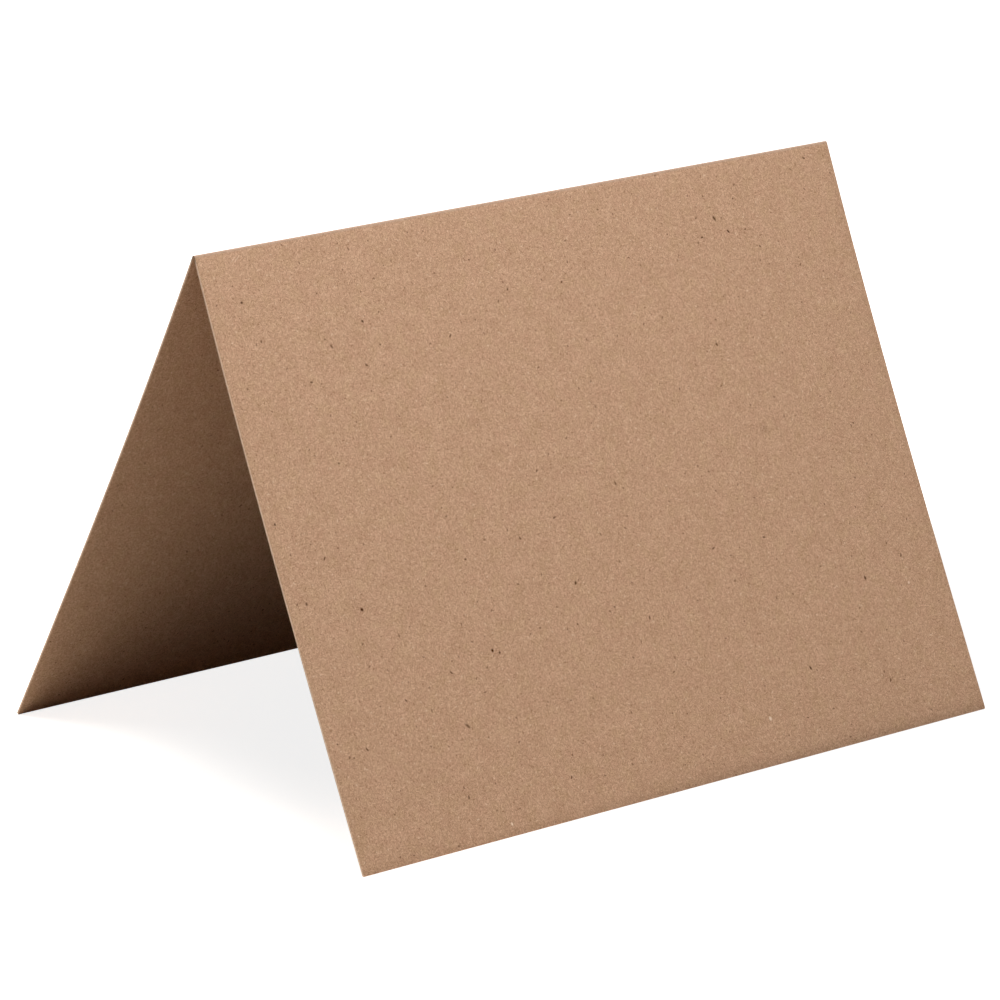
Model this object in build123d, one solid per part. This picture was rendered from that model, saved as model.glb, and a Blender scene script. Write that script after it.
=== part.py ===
"""Blank folded greeting card in heavy brown kraft stock, standing open like a tent on its two foot edges.

The card is one sheet, scored and folded once across the middle. X runs along the fold, the front panel faces
-Y, and the surface that the card stands on is Z = 0, with the origin under the middle of the card.
"""
from build123d import *
import os
from math import atan, cos, pi, radians, sin, sqrt

# Driving dimensions, in millimetres and degrees
FOLD_LENGTH = 158.75        # 6 1/4 in: the card's width, along the fold
PANEL_HEIGHT = 117.475      # 4 5/8 in: from the fold to a foot edge, along the sheet
STOCK_THICKNESS = 0.40      # heavy cover stock
OPENING_ANGLE = 54.2        # how far the card stands open, between the straight lines from fold to foot
PANEL_BOW = 0.85            # how deep each panel sags inwards off its straight line
FOLD_INNER_RADIUS = 0.06    # a sharp scored fold, pressed almost shut on the inside
CORNER_RADIUS = 0.30        # the four cut corners, softened by handling

# The fold bends each panel like a strip that is turned at one end and free at the other. Such a strip takes a
# cubic shape, which a Bezier curve draws exactly, with its two handles this far off the panel's straight line.
FOOT_HANDLE = PANEL_BOW * sqrt(3) / 2
FOLD_HANDLE = PANEL_BOW * sqrt(3)

# The panel's straight line leans by half of the opening, and the fold takes up a little of the sheet's length,
# measured in the middle of its thickness
LEAN = radians(OPENING_ANGLE / 2)
FOLD_ARC = (FOLD_INNER_RADIUS + STOCK_THICKNESS / 2) * (pi - 2 * LEAN)
PANEL_CHORD = PANEL_HEIGHT - FOLD_ARC / 2

# The panel is steeper than its straight line at the fold, and flares out at the foot
LEAN_AT_FOLD = LEAN - atan(3 * FOLD_HANDLE / PANEL_CHORD)
LEAN_AT_FOOT = LEAN + atan(3 * FOOT_HANDLE / PANEL_CHORD)

# Where the inner face of a panel stands on the ground, and the centre that the fold is rounded about
FOOT_REACH = FOLD_INNER_RADIUS * cos(LEAN_AT_FOLD) + PANEL_CHORD * sin(LEAN)
FOLD_CENTRE = Vector(0, PANEL_CHORD * cos(LEAN) - FOLD_INNER_RADIUS * sin(LEAN_AT_FOLD))


def outwards(side: int, lean: float) -> Vector:
    """Unit vector that points out of a panel, where the panel leans by the given angle from the vertical."""
    return Vector(side * cos(lean), sin(lean))


def panel_line(side: int, depth: float) -> Edge:
    """One face of a panel, seen from the end, from its foot up to the fold.

    Args:
        side: -1 for the front panel and 1 for the back panel.
        depth: how far this face lies out from the panel's inner face.
    """
    foot = Vector(side * FOOT_REACH, 0)
    uphill = Vector(-side * sin(LEAN), cos(LEAN)) * PANEL_CHORD
    inwards = -outwards(side, LEAN)
    at_foot = outwards(side, LEAN_AT_FOOT) * depth
    at_fold = outwards(side, LEAN_AT_FOLD) * depth
    return Bezier(
        foot + at_foot,
        foot + uphill / 3 + inwards * FOOT_HANDLE + at_foot,
        foot + uphill * 2 / 3 + inwards * FOLD_HANDLE + at_fold,
        foot + uphill + at_fold,
    )


def card_section() -> Sketch:
    """Section at the card's left end: front panel, tight fold and back panel, one sheet thick, square-cut feet."""
    with BuildSketch(Plane.YZ.offset(-FOLD_LENGTH / 2)) as section:
        with BuildLine():
            faces = []
            for depth in (0, STOCK_THICKNESS):
                front = panel_line(-1, depth)
                back = panel_line(1, depth)
                fold_top = FOLD_CENTRE + Vector(0, FOLD_INNER_RADIUS + depth)
                ThreePointArc(front @ 1, fold_top, back @ 1)
                faces.append((front, back))
            for inner, outer in zip(*faces):
                Line(inner @ 0, outer @ 0)
        make_face()
    return section.sketch


def folded_card() -> Part:
    """The folded sheet, with the four corners of its cut outline slightly rounded."""
    sheet = extrude(card_section(), amount=FOLD_LENGTH)
    cut_corners = sheet.edges().filter_by(GeomType.LINE).group_by(SortBy.LENGTH)[0]
    return fillet(cut_corners, CORNER_RADIUS)


if __name__ == "__main__":
    os.makedirs("parts", exist_ok=True)
    export_step(folded_card(), "parts/folded_card.step")
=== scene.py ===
"""Looks of the blank kraft greeting card: one sheet of brown card stock, folded once and stood like a tent.

The card is made here as it is made in a print shop: a flat blank is cut, its corners are softened, it gets
its thickness, and then it is folded round the score. Lengths are in metres, and in millimetres inside the
finishes.
"""

import logging
import math
from dataclasses import dataclass
from enum import Enum

import bmesh
import bpy
from mathutils import Matrix, Vector

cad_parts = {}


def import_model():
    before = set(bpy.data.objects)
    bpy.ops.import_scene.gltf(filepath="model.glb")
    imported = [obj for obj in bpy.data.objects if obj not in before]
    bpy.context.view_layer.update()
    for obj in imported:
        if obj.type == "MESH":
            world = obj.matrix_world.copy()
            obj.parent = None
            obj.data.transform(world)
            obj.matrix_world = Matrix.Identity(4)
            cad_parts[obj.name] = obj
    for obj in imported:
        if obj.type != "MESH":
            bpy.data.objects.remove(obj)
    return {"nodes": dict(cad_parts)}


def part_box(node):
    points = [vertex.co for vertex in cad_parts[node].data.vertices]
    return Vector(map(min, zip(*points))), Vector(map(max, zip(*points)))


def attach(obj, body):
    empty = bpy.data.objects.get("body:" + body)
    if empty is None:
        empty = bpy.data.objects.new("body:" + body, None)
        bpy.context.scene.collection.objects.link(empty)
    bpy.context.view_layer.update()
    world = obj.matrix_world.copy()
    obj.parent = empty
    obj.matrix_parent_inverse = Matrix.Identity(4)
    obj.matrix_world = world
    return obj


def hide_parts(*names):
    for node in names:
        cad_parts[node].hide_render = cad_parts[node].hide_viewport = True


log = logging.getLogger("greeting_card")

MM = 0.001
BODY = "root"
NODE = "folded_card"
SHEET_UV = "sheet"
BUMP_STRENGTH = 0.6

# Noise seldom leaves this range
NOISE_RANGE = (0.3, 0.7)

Colour = tuple[float, float, float, float]
Socket = bpy.types.NodeSocket


def paint(red: int, green: int, blue: int) -> Colour:
    """Turn a colour as a screen shows it into the linear colour that shaders take.

    Args:
        red: Red, from 0 to 255.
        green: Green, from 0 to 255.
        blue: Blue, from 0 to 255.

    Returns:
        The linear colour, opaque.
    """
    def linear(value: int) -> float:
        """One channel, linear."""
        share = value / 255
        return share / 12.92 if share <= 0.04045 else ((share + 0.055) / 1.055) ** 2.4

    return (linear(red), linear(green), linear(blue), 1.0)


class Side(Enum):
    """The two sides of the sheet, by how far apart their patterns lie on the sheet's own map, in metres."""

    OUTSIDE = 0.0
    INSIDE = 0.5


class Finishes(Enum):
    """Where each finish of the card sits in its list of materials."""

    FACE = 0
    CUT_EDGE = 1


class Blend(Enum):
    """How a pattern changes the colour under it, where it is high and where it is low."""

    TINT = ("MIX", "MIX")
    SHADE = ("ADD", "SUBTRACT")


class Tone(Enum):
    """What a single fleck is: a bit of dark bark, or a tuft of pale fibre."""

    BARK = paint(64, 26, 2)
    PALE = paint(232, 208, 184)


class Wiring:
    """A small helper that adds nodes to one node tree and joins them."""

    def __init__(self, tree: bpy.types.NodeTree) -> None:
        """Keep the tree that the nodes go into.

        Args:
            tree: The node tree of a material, world or group.
        """
        self.tree = tree

    def add(self, kind: str, **settings: object) -> bpy.types.Node:
        """Add a node and set its properties.

        Args:
            kind: The node's type name.
            settings: The node's properties by name.

        Returns:
            The new node.
        """
        node = self.tree.nodes.new(kind)
        for name, value in settings.items():
            setattr(node, name, value)
        return node

    def feed(self, socket: Socket, value: Socket | float | Vector | tuple) -> None:
        """Join an output to a socket, or set the socket to a plain value.

        Args:
            socket: The input to feed.
            value: An output socket, a number or a vector.
        """
        if isinstance(value, Socket):
            self.tree.links.new(value, socket)
        else:
            socket.default_value = value

    def maths(self, operation: str, *values: Socket | float) -> Socket:
        """Add a Math node.

        Args:
            operation: The operation's name.
            values: One to three inputs, numbers or outputs of other nodes.

        Returns:
            The node's output.
        """
        node = self.add("ShaderNodeMath", operation=operation)
        for socket, value in zip(node.inputs, values):
            self.feed(socket, value)
        return node.outputs[0]

    def vector_maths(self, operation: str, *values: Socket | tuple) -> Socket:
        """Add a Vector Math node that gives a vector.

        Args:
            operation: The operation's name.
            values: The inputs, vectors or outputs of other nodes.

        Returns:
            The node's vector output.
        """
        node = self.add("ShaderNodeVectorMath", operation=operation)
        for socket, value in zip(node.inputs, values):
            self.feed(socket, value)
        return node.outputs["Vector"]

    def scaled(self, vector: Socket, factor: float) -> Socket:
        """A vector times a plain number.

        Args:
            vector: The vector.
            factor: The number.

        Returns:
            The scaled vector.
        """
        node = self.add("ShaderNodeVectorMath", operation="SCALE")
        self.feed(node.inputs["Vector"], vector)
        node.inputs["Scale"].default_value = factor
        return node.outputs["Vector"]

    def length(self, vector: Socket) -> Socket:
        """The length of a vector.

        Args:
            vector: The vector.

        Returns:
            Its length.
        """
        node = self.add("ShaderNodeVectorMath", operation="LENGTH")
        self.feed(node.inputs[0], vector)
        return node.outputs["Value"]

    def axes(self, vector: Socket) -> bpy.types.NodeOutputs:
        """Take a vector apart.

        Args:
            vector: The vector.

        Returns:
            Its X, Y and Z, by name.
        """
        node = self.add("ShaderNodeSeparateXYZ")
        self.feed(node.inputs["Vector"], vector)
        return node.outputs

    def off_fold(self, place: Socket, fold_mm: float) -> Socket:
        """How far a place on the sheet is from the fold, in millimetres, where the fold lies at fold_mm."""
        return self.maths("ABSOLUTE", self.maths("SUBTRACT", self.axes(place)["Y"], fold_mm))

    def noise(self, where: Socket, grain_mm: float, detail: float, roughness: float = 0.5,
              curl: float = 0.0, around: bool = False) -> Socket:
        """Noise whose spots are about the given size.

        Args:
            where: The place, in millimetres.
            grain_mm: The size of a spot.
            detail: How many finer layers are added.
            roughness: How strong the finer layers are.
            curl: How far the spots are drawn out into curls.
            around: Whether the spots fill space, and don't only lie on the sheet.

        Returns:
            The noise, about 0 to 1.
        """
        node = self.add("ShaderNodeTexNoise", noise_dimensions="3D" if around else "2D")
        self.feed(node.inputs["Vector"], where)
        node.inputs["Scale"].default_value = 1 / grain_mm
        node.inputs["Detail"].default_value = detail
        node.inputs["Roughness"].default_value = roughness
        node.inputs["Distortion"].default_value = curl
        return node.outputs["Fac"]

    def ramp(self, value: Socket | float, low: float, high: float, to_low: float, to_high: float) -> Socket:
        """Turn a range of values smoothly into another, and hold it beyond both ends.

        Args:
            value: The value to turn.
            low: Where the range starts.
            high: Where the range ends.
            to_low: The result at low.
            to_high: The result at high.

        Returns:
            The result.
        """
        node = self.add("ShaderNodeMapRange", interpolation_type="SMOOTHSTEP", clamp=True)
        for name, number in (("Value", value), ("From Min", low), ("From Max", high),
                             ("To Min", to_low), ("To Max", to_high)):
            self.feed(node.inputs[name], number)
        return node.outputs["Result"]

    def relief(self, height: Socket, depth_mm: float) -> Socket:
        """Raise and lower the surface a little by a pattern.

        Args:
            height: The pattern, about 0 to 1.
            depth_mm: How far its highest spots stand above its lowest.

        Returns:
            The turned normal.
        """
        node = self.add("ShaderNodeBump")
        node.inputs["Strength"].default_value = BUMP_STRENGTH
        node.inputs["Distance"].default_value = depth_mm * MM
        self.feed(node.inputs["Height"], height)
        return node.outputs["Normal"]

    def tint(self, amount: Socket | float, under: Socket | Colour, over: Socket | Colour,
             blend: str = "MIX") -> Socket:
        """Lay one colour over another.

        Args:
            amount: How much of the upper colour shows.
            under: The lower colour.
            over: The upper colour.
            blend: How the two are mixed.

        Returns:
            The mixed colour.
        """
        node = self.add("ShaderNodeMix", data_type="RGBA", blend_type=blend, clamp_factor=True)
        self.feed(node.inputs["Factor"], amount)
        self.feed(node.inputs["A"], under)
        self.feed(node.inputs["B"], over)
        return node.outputs["Result"]


@dataclass(frozen=True)
class FleckLayer:
    """Flecks of one kind scattered through the sheet, a little bent, and turned and sized at random."""

    spacing_mm: float
    length_mm: float
    width_mm: float
    share: float
    bend: float
    shift_mm: float
    colour: Colour
    strength: float
    skew: float = 1.7
    smallest: float = 0.45
    core: float = 0.4
    rim: float = 1.3

    def mask(self, wiring: Wiring, place: Socket) -> Socket:
        """Where the flecks lie.

        Args:
            wiring: The material's wiring.
            place: The place on the sheet, in millimetres.

        Returns:
            0 off the flecks and up to the layer's strength on them.
        """
        moved = wiring.vector_maths("ADD", place, (self.shift_mm, self.shift_mm * self.skew, 0))
        cells = wiring.add("ShaderNodeTexVoronoi", voronoi_dimensions="2D", feature="F1")
        wiring.feed(cells.inputs["Vector"], moved)
        cells.inputs["Scale"].default_value = 1 / self.spacing_mm
        cells.inputs["Randomness"].default_value = 1.0
        chance = wiring.add("ShaderNodeSeparateColor")
        wiring.feed(chance.inputs["Color"], cells.outputs["Color"])
        first, second, third = chance.outputs
        turn = wiring.add("ShaderNodeVectorRotate", rotation_type="Z_AXIS")
        wiring.feed(turn.inputs["Vector"], wiring.vector_maths("SUBTRACT", moved, cells.outputs["Position"]))
        wiring.feed(turn.inputs["Angle"], wiring.maths("MULTIPLY", first, math.tau))
        axes = wiring.axes(turn.outputs["Vector"])
        size = wiring.ramp(second, 0.0, 1.0, self.smallest, 1.0)
        half_length = wiring.maths("MULTIPLY", size, self.length_mm / 2)
        along = wiring.maths("DIVIDE", axes["X"], half_length)
        along_squared = wiring.maths("MULTIPLY", along, along)
        sag = wiring.maths("MULTIPLY", along_squared, self.bend * self.length_mm)
        across = wiring.maths("DIVIDE", wiring.maths("ADD", axes["Y"], sag), self.width_mm / 2)
        reach = wiring.maths("ADD", along_squared, wiring.maths("MULTIPLY", across, across))
        shape = wiring.ramp(reach, self.core, self.rim, self.strength, 0.0)
        return wiring.maths("MULTIPLY", shape, wiring.maths("LESS_THAN", third, self.share))


@dataclass(frozen=True)
class Fleck:
    """One larger fleck that can be told apart on the front panel.

    Its place is measured in millimetres on the unfolded sheet: across from the card's left end, and down
    from the fold.
    """

    tone: Tone
    across_mm: float
    down_mm: float
    length_mm: float
    width_mm: float
    angle_deg: float
    strength: float
    softness: float = 0.6

    def mask(self, wiring: Wiring, place: Socket, fold_mm: float) -> Socket:
        """Where this fleck lies.

        Args:
            wiring: The material's wiring.
            place: The place on the sheet, in millimetres.
            fold_mm: Where the fold lies on the sheet's map.

        Returns:
            0 off the fleck and up to its strength on it.
        """
        centre = (self.across_mm, fold_mm - self.down_mm, 0)
        turn = wiring.add("ShaderNodeVectorRotate", rotation_type="Z_AXIS")
        wiring.feed(turn.inputs["Vector"], place)
        turn.inputs["Center"].default_value = centre
        turn.inputs["Angle"].default_value = math.radians(-self.angle_deg)
        centred = wiring.vector_maths("SUBTRACT", turn.outputs["Vector"], centre)
        shrunk = wiring.vector_maths("DIVIDE", centred, (self.length_mm / 2, self.width_mm / 2, 1))
        return wiring.ramp(wiring.length(shrunk), 1 - self.softness, 1 + self.softness, self.strength, 0.0)


@dataclass(frozen=True)
class Mottling:
    """A soft pattern that turns the sheet's colour one way where it is high, and another where it is low."""

    spot_mm: float
    detail: float
    roughness: float
    reach: float
    share: float
    high: Colour
    low: Colour
    curl: float = 0.0
    blend: Blend = Blend.TINT

    def pattern(self, wiring: Wiring, place: Socket) -> Socket:
        """The bare pattern, about 0 to 1."""
        return wiring.noise(place, self.spot_mm, self.detail, self.roughness, curl=self.curl)

    def lay(self, wiring: Wiring, pattern: Socket, colour: Socket | Colour) -> Socket:
        """Lay the pattern over a colour.

        Args:
            wiring: The material's wiring.
            pattern: The bare pattern.
            colour: The colour under it.

        Returns:
            The mottled colour.
        """
        for tone, blend, reach in zip((self.high, self.low), self.blend.value, (self.reach, -self.reach)):
            amount = wiring.ramp(pattern, 0.5, 0.5 + reach, 0.0, self.share)
            colour = wiring.tint(amount, colour, tone, blend)
        return colour


@dataclass(frozen=True)
class KraftFace:
    """The uncoated face of brown kraft card stock."""

    base: Colour = paint(190, 153, 125)
    rosy: Colour = paint(193, 152, 126)
    straw: Colour = paint(186, 153, 119)
    pulp: Colour = (0.150, 0.113, 0.086, 1.0)
    burnished: Colour = paint(178, 151, 133)
    bark: Colour = paint(70, 34, 8)
    roughness: tuple[float, float] = (0.80, 0.96)
    specular: float = 0.04
    bump_mm: float = 0.03
    fold_line_mm: float = 0.60
    fold_line_thinnest: float = 0.60

    def hues(self) -> Mottling:
        """Two faint hues, a rosy one and a straw one."""
        return Mottling(3.6, 1.0, 0.5, 0.25, 0.32, self.rosy, self.straw)

    def clouds(self) -> Mottling:
        """Soft clouds of thicker and thinner pulp."""
        return Mottling(4.2, 3.0, 0.6, 0.25, 0.17, self.pulp, self.pulp, blend=Blend.SHADE)

    def grain(self) -> Mottling:
        """The fine grain of the pulp."""
        return Mottling(0.30, 1.0, 0.6, 0.30, 0.84, self.pulp, self.pulp, curl=0.6, blend=Blend.SHADE)

    def flecks(self) -> tuple[FleckLayer, ...]:
        """The kinds of fleck in the sheet.

        Returns:
            The layers, from long pale fibres to bits of bark.
        """
        brown = paint(130, 95, 69)
        pale = paint(228, 202, 176)
        light = paint(214, 178, 150)
        shade = paint(162, 125, 97)
        # Spacing, length and width, share of the places that hold one, bend, shift, colour and strength
        return (
            FleckLayer(1.3, 1.5, 0.13, 0.95, 0.16, 3.1, light, 0.86),
            FleckLayer(1.1, 1.3, 0.13, 0.95, 0.18, 11.7, shade, 0.86),
            FleckLayer(0.9, 1.1, 0.13, 0.90, 0.20, 83.3, shade, 0.86),
            FleckLayer(2.4, 0.6, 0.26, 0.35, 0.10, 23.9, pale, 0.45),
            FleckLayer(1.9, 0.6, 0.28, 0.50, 0.10, 37.3, brown, 0.52),
            FleckLayer(4.8, 0.7, 0.34, 0.34, 0.08, 57.3, self.bark, 0.55),
            FleckLayer(12.0, 0.9, 0.38, 0.32, 0.06, 71.3, self.bark, 0.75),
        )

    def landmarks(self) -> tuple[Fleck, ...]:
        """The few flecks that stand out on the front panel.

        Most of their places come from a search for spots in the photograph, and their shapes and strengths
        were then adjusted against it.

        Returns:
            The bits of bark, the soft smudge, the pale tufts and the faint streaks.
        """
        # Tone, place across and down, length and width, angle, strength and, for the smudge, softness
        return (
            Fleck(Tone.BARK, 124.7, 11.0, 1.10, 0.48, -60, 0.80),
            Fleck(Tone.BARK, 127.4, 14.0, 0.74, 0.42, -52, 0.90),
            Fleck(Tone.BARK, 16.2, 70.0, 0.64, 0.54, -20, 1.00),
            Fleck(Tone.BARK, 43.0, 83.0, 0.66, 0.50, -80, 1.00),
            Fleck(Tone.BARK, 44.5, 83.7, 0.48, 0.42, 0, 0.85),
            Fleck(Tone.BARK, 137.7, 86.5, 0.84, 0.46, -80, 0.88),
            Fleck(Tone.BARK, 66.7, 74.3, 0.72, 0.44, 70, 0.90),
            Fleck(Tone.BARK, 117.5, 101.0, 0.86, 0.40, -62, 0.90),
            Fleck(Tone.BARK, 32.5, 95.5, 1.20, 0.50, -46, 0.70),
            Fleck(Tone.BARK, 4.3, 66.7, 0.66, 0.44, 70, 0.75),
            Fleck(Tone.BARK, 2.2, 51.2, 0.52, 0.42, -90, 0.90),
            Fleck(Tone.BARK, 7.8, 10.0, 0.56, 0.42, 0, 0.88),
            Fleck(Tone.BARK, 33.9, 17.6, 0.60, 0.44, -40, 0.88),
            Fleck(Tone.BARK, 25.4, 21.1, 0.95, 0.40, -60, 0.66),
            Fleck(Tone.BARK, 82.8, 57.5, 0.90, 0.38, -80, 0.64),
            Fleck(Tone.BARK, 123.0, 53.5, 1.90, 1.30, 0, 0.17, 1.0),
            Fleck(Tone.PALE, 104.0, 108.5, 0.80, 0.60, -75, 0.85),
            Fleck(Tone.PALE, 148.5, 89.5, 0.55, 0.40, 70, 0.80),
            Fleck(Tone.PALE, 36.2, 115.2, 0.60, 0.40, -80, 0.95),
            Fleck(Tone.PALE, 8.3, 1.9, 1.50, 0.20, 36, 0.34),
            Fleck(Tone.PALE, 9.2, 1.9, 1.80, 0.20, 36, 0.34),
        )

    def material(self, card: "CardSize") -> bpy.types.Material:
        """Make the finish.

        Args:
            card: The card's sizes, for the place of the fold.

        Returns:
            The material.
        """
        material = bpy.data.materials.new("kraft_face")
        material.use_nodes = True
        wiring = Wiring(material.node_tree)
        surface = material.node_tree.nodes["Principled BSDF"]
        sheet = wiring.add("ShaderNodeUVMap", uv_map=SHEET_UV)
        place = wiring.scaled(sheet.outputs["UV"], 1 / MM)

        grain = self.grain().pattern(wiring, place)
        colour = self.hues().lay(wiring, self.hues().pattern(wiring, place), self.base)
        colour = self.clouds().lay(wiring, self.clouds().pattern(wiring, place), colour)
        colour = self.grain().lay(wiring, grain, colour)
        for layer in self.flecks():
            colour = wiring.tint(layer.mask(wiring, place), colour, layer.colour)
        fold_mm = card.panel_height / MM
        for fleck in self.landmarks():
            colour = wiring.tint(fleck.mask(wiring, place, fold_mm), colour, fleck.tone.value)
        colour = wiring.tint(self.fold_line(wiring, place, fold_mm, grain), colour, self.burnished)

        wiring.feed(surface.inputs["Base Color"], colour)
        wiring.feed(surface.inputs["Roughness"], wiring.ramp(grain, *NOISE_RANGE, *self.roughness))
        surface.inputs["Specular IOR Level"].default_value = self.specular
        wiring.feed(surface.inputs["Normal"], wiring.relief(grain, self.bump_mm))
        return material

    def fold_line(self, wiring: Wiring, place: Socket, fold_mm: float, grain: Socket) -> Socket:
        """How far the outside of the fold is pressed smooth and grey by the scoring rule.

        Args:
            wiring: The material's wiring.
            place: The place on the sheet, in millimetres.
            fold_mm: Where the fold lies on the sheet's map.
            grain: The fine grain, which breaks the line up.

        Returns:
            0 away from the fold, and nearly 1 on it.
        """
        near = wiring.ramp(wiring.off_fold(place, fold_mm), 0.0, self.fold_line_mm, 1.0, 0.0)
        outside = wiring.maths("LESS_THAN", wiring.axes(place)["X"], Side.INSIDE.value / MM / 2)
        return wiring.maths("MULTIPLY", wiring.maths("MULTIPLY", near, outside),
                            wiring.ramp(grain, *NOISE_RANGE, self.fold_line_thinnest, 1.0))


@dataclass(frozen=True)
class KraftCutEdge:
    """The cut edge of the stock, where the sheet's layers show end on, paler partly by its own fibre ends
    and partly by painted light.
    """

    # Partly the stock's own paler fibre ends, partly painted light standing in for light from the left
    base: Colour = paint(237, 207, 183)
    gap: Colour = paint(216, 181, 155)
    dark_near_fold: Colour = paint(128, 98, 74)
    gap_range: tuple[float, float] = (0.40, 0.62)
    gap_share: float = 0.7
    dark_near_fold_mm: tuple[float, float] = (0.4, 2.2)
    dark_near_fold_share: float = 0.8
    roughness: tuple[float, float] = (0.86, 0.98)
    specular: float = 0.15
    fibre_mm: float = 0.33
    fibre_detail: float = 3.0
    bump_mm: float = 0.02

    def material(self, card: "CardSize") -> bpy.types.Material:
        """Make the finish.

        Args:
            card: The card's sizes, for the place of the fold.

        Returns:
            The material.
        """
        material = bpy.data.materials.new("kraft_cut_edge")
        material.use_nodes = True
        wiring = Wiring(material.node_tree)
        surface = material.node_tree.nodes["Principled BSDF"]
        object_place = wiring.add("ShaderNodeTexCoord").outputs["Object"]
        place = wiring.scaled(object_place, 1 / MM)
        fibres = wiring.noise(place, self.fibre_mm, self.fibre_detail, around=True)
        colour = wiring.tint(wiring.ramp(fibres, *self.gap_range, 0.0, self.gap_share), self.base, self.gap)
        sheet = wiring.add("ShaderNodeUVMap", uv_map=SHEET_UV)
        off_fold = wiring.off_fold(wiring.scaled(sheet.outputs["UV"], 1 / MM), card.panel_height / MM)
        # The cut edge is darker near the fold
        near_fold_amount = wiring.ramp(off_fold, *self.dark_near_fold_mm, self.dark_near_fold_share, 0.0)
        colour = wiring.tint(near_fold_amount, colour, self.dark_near_fold)
        wiring.feed(surface.inputs["Base Color"], colour)
        wiring.feed(surface.inputs["Roughness"], wiring.ramp(fibres, *NOISE_RANGE, *self.roughness))
        surface.inputs["Specular IOR Level"].default_value = self.specular
        wiring.feed(surface.inputs["Normal"], wiring.relief(fibres, self.bump_mm))
        return material


@dataclass(frozen=True)
class CardSize:
    """The card's real sizes, in metres and degrees, as the part has them."""

    fold_length: float
    panel_height: float = 117.475 * MM
    stock: float = 0.40 * MM
    opening_angle: float = 54.2
    panel_bow: float = 0.85 * MM
    fold_inner_radius: float = 0.06 * MM
    corner_radius: float = 0.30 * MM

    @property
    def lean(self) -> float:
        """How far a panel's straight line leans from the vertical."""
        return math.radians(self.opening_angle / 2)

    @property
    def fold_arc(self) -> float:
        """The length of sheet in the fold, in the middle of its thickness."""
        return (self.fold_inner_radius + self.stock / 2) * (math.pi - 2 * self.lean)

    @property
    def chord(self) -> float:
        """The straight line from a panel's foot to the fold."""
        return self.panel_height - self.fold_arc / 2

    @property
    def sag(self) -> float:
        """The factor of the cubic that a panel bends into, which is deepest at the bow."""
        return self.panel_bow * 3 * math.sqrt(3) / 2

    @property
    def lean_at_fold(self) -> float:
        """How far a panel leans where it meets the fold."""
        return self.lean - math.atan(2 * self.sag / self.chord)

    @property
    def fold_centre(self) -> float:
        """The height of the line that the fold is rounded about."""
        return self.chord * math.cos(self.lean) - self.fold_inner_radius * math.sin(self.lean_at_fold)

    def folded(self, flat: Vector) -> Vector:
        """Where a point of the flat blank goes when the card is folded and stood up.

        Args:
            flat: The point on the blank: along the fold, away from the fold (the front panel is minus), and
                out from the blank's inner face.

        Returns:
            The point on the standing card.
        """
        side = -1 if flat.y < 0 else 1
        past_fold = abs(flat.y) - self.fold_arc / 2
        if past_fold < 0:
            lean = math.pi / 2 - (math.pi / 2 - self.lean_at_fold) * abs(flat.y) / (self.fold_arc / 2)
            reach = self.fold_inner_radius + flat.z
            return Vector((flat.x, side * reach * math.cos(lean), self.fold_centre + reach * math.sin(lean)))
        up = 1 - past_fold / self.chord
        depth = self.sag * (up - up ** 3)
        lean = self.lean + math.atan(self.sag * (1 - 3 * up ** 2) / self.chord)
        foot = self.fold_inner_radius * math.cos(self.lean_at_fold) + self.chord * math.sin(self.lean)
        across = foot - up * self.chord * math.sin(self.lean) - depth * math.cos(self.lean)
        height = up * self.chord * math.cos(self.lean) - depth * math.sin(self.lean)
        return Vector((flat.x, side * (across + flat.z * math.cos(lean)), height + flat.z * math.sin(lean)))


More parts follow.
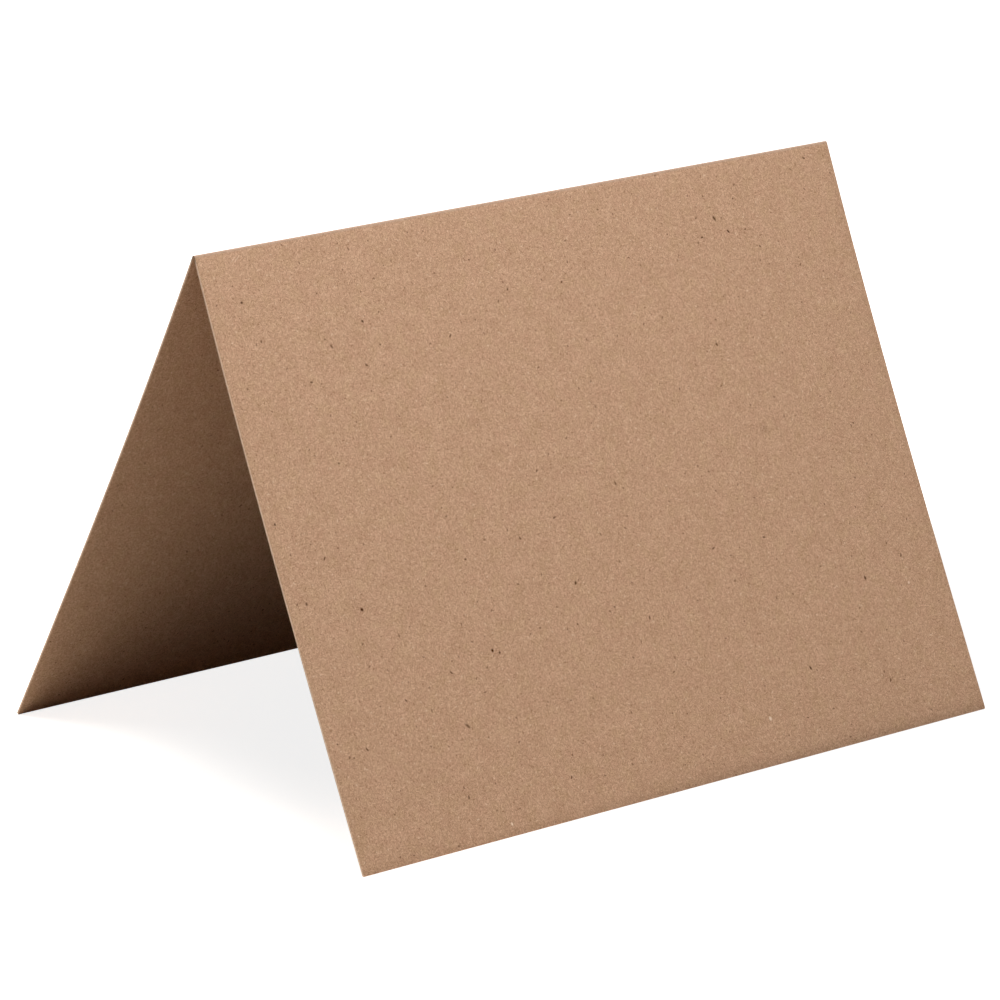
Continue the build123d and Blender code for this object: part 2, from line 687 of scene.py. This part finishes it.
@dataclass
class GreetingCard:
    """The whole card, one folded sheet."""

    size: CardSize
    columns: int = 64
    rows: int = 96
    fold_steps: int = 14
    edge_softening: float = 0.03 * MM
    corner_steps: int = 4
    edge_steps: int = 2
    snap: float = 1e-9

    # Where the blank turns by more than this it is cut, and what lies less level than this is a cut edge
    sharp_deg: float = 60.0
    level: float = 0.99

    def cut_blank(self) -> bmesh.types.BMesh:
        """Cut the flat blank, rule it for bending, and soften its corners.

        Returns:
            The blank's inner face, flat on the ground plane.
        """
        blank = bmesh.new()
        bmesh.ops.create_grid(blank, x_segments=self.columns, y_segments=self.rows, size=0.5)
        bmesh.ops.scale(blank, vec=(self.size.fold_length, 2 * self.size.panel_height, 1), verts=blank.verts)
        for step in range(self.fold_steps + 1):
            line = (step / self.fold_steps - 0.5) * self.size.fold_arc
            everything = blank.verts[:] + blank.edges[:] + blank.faces[:]
            bmesh.ops.bisect_plane(blank, geom=everything, dist=self.snap, plane_co=(0, line, 0),
                                   plane_no=(0, 1, 0))
        corners = [vert for vert in blank.verts if len(vert.link_edges) == 2]
        bmesh.ops.bevel(blank, geom=corners, offset=self.size.corner_radius, segments=self.corner_steps,
                        profile=0.5, affect="VERTICES", material=-1)
        return blank

    def thicken(self, blank: bmesh.types.BMesh) -> None:
        """Give the blank its thickness and take the sharpness off its cut edges.

        Args:
            blank: The flat blank.
        """
        outside = bmesh.ops.extrude_face_region(blank, geom=blank.faces[:], use_keep_orig=True)["geom"]
        lifted = [item for item in outside if isinstance(item, bmesh.types.BMVert)]
        bmesh.ops.translate(blank, verts=lifted, vec=(0, 0, self.size.stock))
        bmesh.ops.recalc_face_normals(blank, faces=blank.faces)
        rims = [edge for edge in blank.edges if edge.calc_face_angle(0.0) > math.radians(self.sharp_deg)]
        bmesh.ops.bevel(blank, geom=rims, offset=self.edge_softening, segments=self.edge_steps,
                        profile=0.5, affect="EDGES", material=-1)
        blank.normal_update()
        for face in blank.faces:
            finish = Finishes.FACE if abs(face.normal.z) > self.level else Finishes.CUT_EDGE
            face.material_index = finish.value

    def lay_map(self, blank: bmesh.types.BMesh) -> None:
        """Keep each point's place on the flat sheet, so that the finish lies on it as it does on real stock.

        Args:
            blank: The blank, still flat.
        """
        layer = blank.loops.layers.uv.new(SHEET_UV)
        for face in blank.faces:
            side = Side.INSIDE if face.calc_center_median().z < self.size.stock / 2 else Side.OUTSIDE
            for loop in face.loops:
                place = loop.vert.co
                loop[layer].uv = (place.x + self.size.fold_length / 2 + side.value,
                                  place.y + self.size.panel_height)

    def fold(self, blank: bmesh.types.BMesh) -> None:
        """Fold the blank round its score and stand it up.

        Args:
            blank: The blank, still flat.
        """
        for vert in blank.verts:
            vert.co = self.size.folded(vert.co)
        bmesh.ops.recalc_face_normals(blank, faces=blank.faces)

    def build(self) -> bpy.types.Object:
        """Make the card and give it its finishes.

        Returns:
            The finished piece.
        """
        blank = self.cut_blank()
        self.thicken(blank)
        self.lay_map(blank)
        self.fold(blank)
        mesh = bpy.data.meshes.new("kraft_card")
        blank.to_mesh(mesh)
        blank.free()
        mesh.materials.append(KraftFace().material(self.size))
        mesh.materials.append(KraftCutEdge().material(self.size))
        mesh.shade_smooth()
        card = bpy.data.objects.new("kraft_card", mesh)
        bpy.context.scene.collection.objects.link(card)
        return card


@dataclass(frozen=True)
class Softbox:
    """A square studio lamp with an even face."""

    name: str
    place: tuple[float, float, float]
    width: float
    watts: float
    aim: tuple[float, float, float] = (0.0, 0.0, 0.05)

    def hang(self) -> None:
        """Put the lamp in the scene, turned to its aim."""
        lamp = bpy.data.lights.new(self.name, "AREA")
        lamp.shape = "SQUARE"
        lamp.size = self.width
        lamp.energy = self.watts
        holder = bpy.data.objects.new(self.name, lamp)
        turn = (Vector(self.aim) - Vector(self.place)).to_track_quat("-Z", "Y")
        holder.matrix_world = Matrix.Translation(self.place) @ turn.to_matrix().to_4x4()
        bpy.context.scene.collection.objects.link(holder)


@dataclass(frozen=True)
class Studio:
    """A white floor, painted darker under the card as painted shade so that it throws less light back, soft
    lamps and dark air.
    """

    floor_width: float = 8.0
    floor_white: Colour = (0.92, 0.87, 0.79, 1.0)
    # Painted shade: a darker floor colour in an oval under the card, where only shade falls
    painted_shade_floor: Colour = (0.22, 0.205, 0.19, 1.0)
    shade_centre: tuple[float, float, float] = (0.058, -0.001, 0.0)
    shade_squeeze: tuple[float, float, float] = (1.0, 2.4, 1.0)
    shade_from: float = 0.105
    shade_to: float = 0.172
    lift_near: float = 0.85
    lift_far: float = 1.0
    lift_from: float = 0.18
    lift_to: float = 0.55

    def lamps(self) -> tuple[Softbox, ...]:
        """The lamps round the card.

        Returns:
            A key overhead, a little left and in front, and fills at front right and back left.
        """
        return (
            Softbox("key", (-0.10, -0.08, 0.60), 0.22, 3.30),
            Softbox("right_fill", (0.30, -0.35, 0.55), 0.25, 1.0),
            Softbox("back_fill", (-0.24, 0.46, 0.42), 0.30, 1.5),
        )

    def seen(self, wiring: Wiring) -> Socket:
        """Whether a ray comes from the camera, or from a glossy or clear surface.

        Args:
            wiring: The wiring of the floor or of the air.

        Returns:
            1 for such a ray and 0 for any other.
        """
        ray = wiring.add("ShaderNodeLightPath").outputs
        mirrored = wiring.maths("MAXIMUM", ray["Is Glossy Ray"], ray["Is Transmission Ray"])
        return wiring.maths("MAXIMUM", ray["Is Camera Ray"], mirrored)

    def lay_floor(self) -> None:
        """Lay the white floor, which is lifted to a clean white to look at, and keeps the shadow."""
        floor = bmesh.new()
        bmesh.ops.create_grid(floor, x_segments=1, y_segments=1, size=self.floor_width / 2)
        mesh = bpy.data.meshes.new("floor")
        floor.to_mesh(mesh)
        floor.free()
        material = bpy.data.materials.new("floor_white")
        material.use_nodes = True
        tree = material.node_tree
        tree.nodes.remove(tree.nodes["Principled BSDF"])
        wiring = Wiring(tree)
        place = wiring.add("ShaderNodeTexCoord").outputs["Object"]
        # Painted shade: the oval under the card gets the darker floor colour, so that little light comes
        # back up into the card
        oval = wiring.vector_maths("MULTIPLY", wiring.vector_maths("SUBTRACT", place, self.shade_centre),
                                   self.shade_squeeze)
        open_floor = wiring.ramp(wiring.length(oval), self.shade_from, self.shade_to, 0.0, 1.0)
        white = wiring.add("ShaderNodeBsdfDiffuse")
        wiring.feed(white.inputs["Color"], wiring.tint(open_floor, self.painted_shade_floor, self.floor_white))
        lift = wiring.ramp(wiring.length(place), self.lift_from, self.lift_to, self.lift_near, self.lift_far)
        glow = wiring.add("ShaderNodeEmission")
        wiring.feed(glow.inputs["Strength"], wiring.maths("MULTIPLY", lift, self.seen(wiring)))
        shown = wiring.add("ShaderNodeAddShader")
        wiring.feed(shown.inputs[0], white.outputs[0])
        wiring.feed(shown.inputs[1], glow.outputs[0])
        wiring.feed(tree.nodes["Material Output"].inputs["Surface"], shown.outputs[0])
        mesh.materials.append(material)
        ground = bpy.data.objects.new("floor", mesh)
        bpy.context.scene.collection.objects.link(ground)

    def fill_air(self) -> None:
        """Make the surroundings white to look at, and dark to the card, which the lamps alone light."""
        world = bpy.data.worlds.new("air")
        world.use_nodes = True
        bpy.context.scene.world = world
        wiring = Wiring(world.node_tree)
        background = world.node_tree.nodes["Background"]
        background.inputs["Color"].default_value = (1, 1, 1, 1)
        wiring.feed(background.inputs["Strength"], self.seen(wiring))

    def set_up(self) -> None:
        """Set up the floor, the air and the lamps, and show colours as they are."""
        self.lay_floor()
        self.fill_air()
        for lamp in self.lamps():
            lamp.hang()
        bpy.context.scene.view_settings.view_transform = "Standard"


@dataclass(frozen=True)
class PhotoCamera:
    """The camera where the photograph was taken from, fitted to the card's edges, in degrees and metres."""

    azimuth: float = -40.843
    elevation: float = 17.502
    roll: float = -1.969
    distance: float = 1.1356
    aim_height: float = 0.052
    slide_right: float = -0.00279
    slide_down: float = 0.00790
    focal_share: float = 5.8535
    sensor: float = 36.0

    def set_up(self) -> None:
        """Make the camera and look through it."""
        angles = (self.azimuth, self.elevation, self.roll)
        azimuth, elevation, roll = (math.radians(angle) for angle in angles)
        ahead = Vector((-math.sin(azimuth) * math.cos(elevation), math.cos(azimuth) * math.cos(elevation),
                        -math.sin(elevation)))
        level = ahead.cross(Vector((0, 0, 1))).normalized()
        below = ahead.cross(level)
        right = level * math.cos(roll) + below * math.sin(roll)
        down = below * math.cos(roll) - level * math.sin(roll)
        place = Vector((0, 0, self.aim_height)) - ahead * self.distance
        place += right * self.slide_right + down * self.slide_down
        lens = bpy.data.cameras.new("photo_camera")
        lens.sensor_width = self.sensor
        lens.lens = self.sensor * self.focal_share
        holder = bpy.data.objects.new("photo_camera", lens)
        turn = Matrix((right, -down, -ahead)).transposed().to_4x4()
        holder.matrix_world = Matrix.Translation(place) @ turn
        bpy.context.scene.collection.objects.link(holder)
        bpy.context.scene.camera = holder


def main() -> None:
    """Build the card and the studio round it."""
    logging.basicConfig(level=logging.INFO, format="%(name)s: %(message)s")
    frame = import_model()
    log.info("frame: %s", ", ".join(frame["nodes"]))
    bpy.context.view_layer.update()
    PhotoCamera().set_up()
    Studio().set_up()

    low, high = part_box(NODE)
    card = GreetingCard(CardSize(fold_length=high.x - low.x)).build()
    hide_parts(NODE)
    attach(card, BODY)
    log.info("%s: %d faces", card.name, len(card.data.polygons))


if __name__ == "__main__":
    main()
